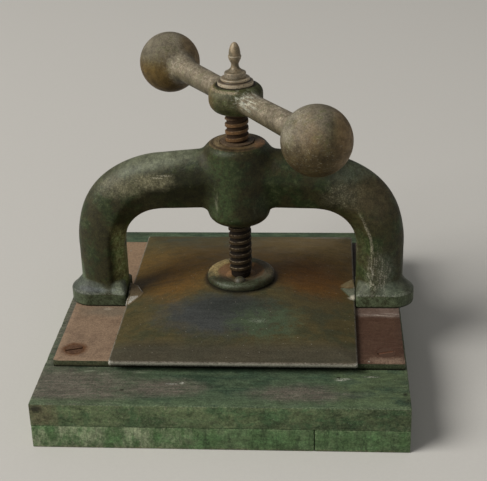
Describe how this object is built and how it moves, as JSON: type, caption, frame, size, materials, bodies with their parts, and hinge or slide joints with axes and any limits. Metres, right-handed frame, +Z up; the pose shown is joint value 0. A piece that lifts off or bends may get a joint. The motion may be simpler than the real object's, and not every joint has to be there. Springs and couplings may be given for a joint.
{
  "type": "screw copying press",
  "caption": "Hand screw press: cast arch over an iron bed on a wooden base, with a screw that lowers a flat platen, turned by a ball-ended cross handle.",
  "frame": {"origin": "on the underside of the wooden base, in line with the screw's axis", "axes": "+Z up along the screw, +X to the right, front towards -Y; the press is closed at rest"},
  "size_m": [0.389, 0.406, 0.3526],
  "materials": {
    "green_wood": "worn green paint over wood, satin",
    "plain_steel": "plain steel, dull",
    "bed_iron": "worn bare casting with a red-brown film, matt",
    "rusty_screw": "rusted steel, matt",
    "arch_paint": "old dark green paint, worn and satin",
    "nut_iron": "oiled brown iron, dull",
    "platen_iron": "thin worn green paint over iron with rust, satin",
    "collar_iron": "worn paint over iron, rusty in the recess",
    "spindle_iron": "oiled and rusted steel thread, dull sheen",
    "handle_paint": "paint worn to grey-brown iron on the grips, satin",
    "cap_iron": "worn grey-brown iron, satin"
  },
  "bodies": {
    "frame": {"base_top_board": "green_wood", "base_lower_board_left": "green_wood", "base_lower_board_right": "green_wood", "base_screws": "plain_steel", "bed_plate": "bed_iron", "bed_screws": "rusty_screw", "arch_frame": "arch_paint", "arch_bolts": "plain_steel", "arch_bolt_washers": "plain_steel", "screw_nut": "nut_iron", "nut_lock_pin": "plain_steel"},
    "platen": {"platen": "platen_iron", "thrust_pad": "plain_steel", "swivel_collar_front": "collar_iron", "swivel_collar_rear": "collar_iron", "collar_bolts": "cap_iron"},
    "screw": {"screw_spindle": "spindle_iron", "ball_handle": "handle_paint", "cap_washer": "cap_iron", "acorn_finial": "cap_iron"}
  },
  "joints": [
    {"name": "platen_slide", "type": "slide", "parent": "frame", "child": "platen", "axis": [0, 0, 1], "range_m": [0, 0.0561]},
    {"name": "screw_turn", "type": "hinge", "parent": "platen", "child": "screw", "pos_m": [0, 0, 0.25], "axis": [0, 0, 1], "range_deg": [0, 2520]}
  ],
  "couplings": [
    {"joint": "platen_slide", "follows": "screw_turn", "m_per_rad": 0.0012732}
  ]
}
